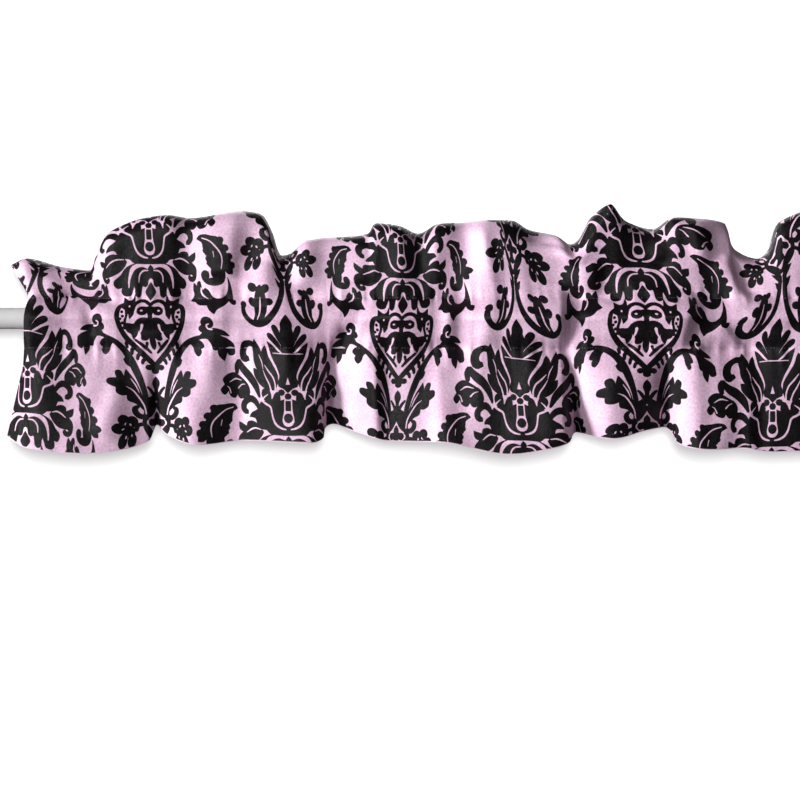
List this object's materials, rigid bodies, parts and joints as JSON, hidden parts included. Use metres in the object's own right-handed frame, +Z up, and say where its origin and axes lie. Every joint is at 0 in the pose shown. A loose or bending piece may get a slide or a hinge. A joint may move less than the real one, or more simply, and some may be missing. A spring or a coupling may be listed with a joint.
{
  "type": "rod-pocket window valance on a curtain rod",
  "caption": "Short gathered window valance with a ruffled header, a sewn rod pocket and an uneven hem, hung on a plain round rod.",
  "frame": {"origin": "centre of the rod's left end face", "axes": "+X along the rod, +Z up, the printed front of the cloth looks along -Y"},
  "size_m": [1.29, 0.0669, 0.3251],
  "materials": {
    "printed_cotton": "pink cotton sateen with a black damask print, soft sheen",
    "white_rod": "satin white paint"
  },
  "bodies": {
    "root": {"valance": "printed_cotton", "rod": "white_rod"}
  },
  "joints": []
}
